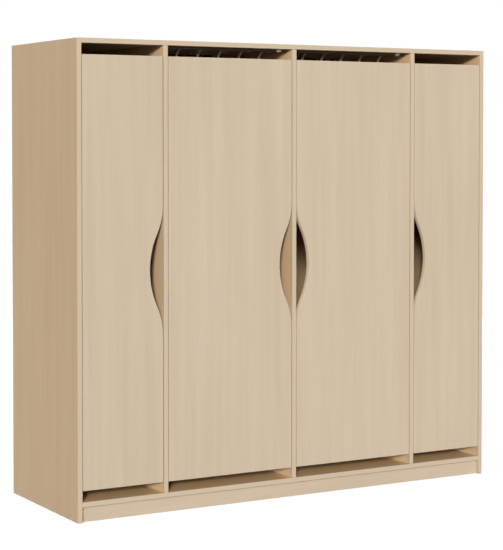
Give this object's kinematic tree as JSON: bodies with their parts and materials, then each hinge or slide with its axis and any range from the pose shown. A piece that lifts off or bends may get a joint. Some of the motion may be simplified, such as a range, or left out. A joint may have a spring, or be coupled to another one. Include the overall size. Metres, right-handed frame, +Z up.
{
  "type": "mat storage cabinet",
  "caption": "Tall board cabinet on a recessed plinth with inset hinged doors, finger cut-outs, air slots, side bays with shelves and wide bays with wire separators for mats stood on edge.",
  "frame": {"origin": "on the floor, at the middle of the cabinet's footprint", "axes": "+X to the right along the front as seen by someone who faces the doors, +Y from the front to the back, +Z up"},
  "size_m": [1.8, 0.6, 1.72],
  "materials": {
    "melamine_board": "pale maple melamine board with banded edges, satin",
    "back_sheet": "thin fibreboard sheet with a maple print, matt",
    "chromed_wire": "bright chromed steel wire",
    "nickelled_steel": "nickel-plated pressed steel",
    "lacquered_steel": "steel rod with a dark semi-gloss lacquer"
  },
  "bodies": {
    "carcass": {"side_panel_left": "melamine_board", "side_panel_right": "melamine_board", "top_panel": "melamine_board", "bottom_panel": "melamine_board", "plinth_front": "melamine_board", "plinth_rear": "melamine_board", "plinth_stay_left": "melamine_board", "plinth_stay_centre": "melamine_board", "plinth_stay_right": "melamine_board", "partition_left": "melamine_board", "partition_centre": "melamine_board", "partition_right": "melamine_board", "back_panel_left": "back_sheet", "back_panel_right": "back_sheet", "shelf_side_left_1": "melamine_board", "shelf_side_left_2": "melamine_board", "shelf_side_right_1": "melamine_board", "shelf_side_right_2": "melamine_board", "separator_rail_front_mat_left": "lacquered_steel", "separator_rail_rear_mat_left": "lacquered_steel", "separator_rail_front_mat_right": "lacquered_steel", "separator_rail_rear_mat_right": "lacquered_steel", "separator_hoop_mat_left_1": "chromed_wire", "separator_hoop_mat_left_2": "chromed_wire", "separator_hoop_mat_left_3": "chromed_wire", "separator_hoop_mat_left_4": "chromed_wire", "separator_hoop_mat_left_5": "chromed_wire", "separator_hoop_mat_right_1": "chromed_wire", "separator_hoop_mat_right_2": "chromed_wire", "separator_hoop_mat_right_3": "chromed_wire", "separator_hoop_mat_right_4": "chromed_wire", "separator_hoop_mat_right_5": "chromed_wire", "hinge_arm_side_left_1": "nickelled_steel", "hinge_arm_side_left_2": "nickelled_steel", "hinge_arm_side_left_3": "nickelled_steel", "hinge_arm_mat_left_1": "nickelled_steel", "hinge_arm_mat_left_2": "nickelled_steel", "hinge_arm_mat_left_3": "nickelled_steel", "hinge_arm_mat_right_1": "nickelled_steel", "hinge_arm_mat_right_2": "nickelled_steel", "hinge_arm_mat_right_3": "nickelled_steel", "hinge_arm_side_right_1": "nickelled_steel", "hinge_arm_side_right_2": "nickelled_steel", "hinge_arm_side_right_3": "nickelled_steel"},
    "door_leaf_side_left": {"door_side_left": "melamine_board", "hinge_cup_side_left_1": "nickelled_steel", "hinge_cup_side_left_2": "nickelled_steel", "hinge_cup_side_left_3": "nickelled_steel"},
    "door_leaf_mat_left": {"door_mat_left": "melamine_board", "hinge_cup_mat_left_1": "nickelled_steel", "hinge_cup_mat_left_2": "nickelled_steel", "hinge_cup_mat_left_3": "nickelled_steel"},
    "door_leaf_mat_right": {"door_mat_right": "melamine_board", "hinge_cup_mat_right_1": "nickelled_steel", "hinge_cup_mat_right_2": "nickelled_steel", "hinge_cup_mat_right_3": "nickelled_steel"},
    "door_leaf_side_right": {"door_side_right": "melamine_board", "hinge_cup_side_right_1": "nickelled_steel", "hinge_cup_side_right_2": "nickelled_steel", "hinge_cup_side_right_3": "nickelled_steel"}
  },
  "joints": [
    {"name": "side_left_swing", "type": "hinge", "parent": "carcass", "child": "door_leaf_side_left", "pos_m": [-0.857, -0.2894, 0.888], "axis": [0, 0, -1], "range_deg": [0, 95]},
    {"name": "mat_left_swing", "type": "hinge", "parent": "carcass", "child": "door_leaf_mat_left", "pos_m": [-0.514, -0.2894, 0.888], "axis": [0, 0, -1], "range_deg": [0, 95]},
    {"name": "mat_right_swing", "type": "hinge", "parent": "carcass", "child": "door_leaf_mat_right", "pos_m": [0.514, -0.2894, 0.888], "axis": [0, 0, 1], "range_deg": [0, 95]},
    {"name": "side_right_swing", "type": "hinge", "parent": "carcass", "child": "door_leaf_side_right", "pos_m": [0.857, -0.2894, 0.888], "axis": [0, 0, 1], "range_deg": [0, 95]}
  ]
}
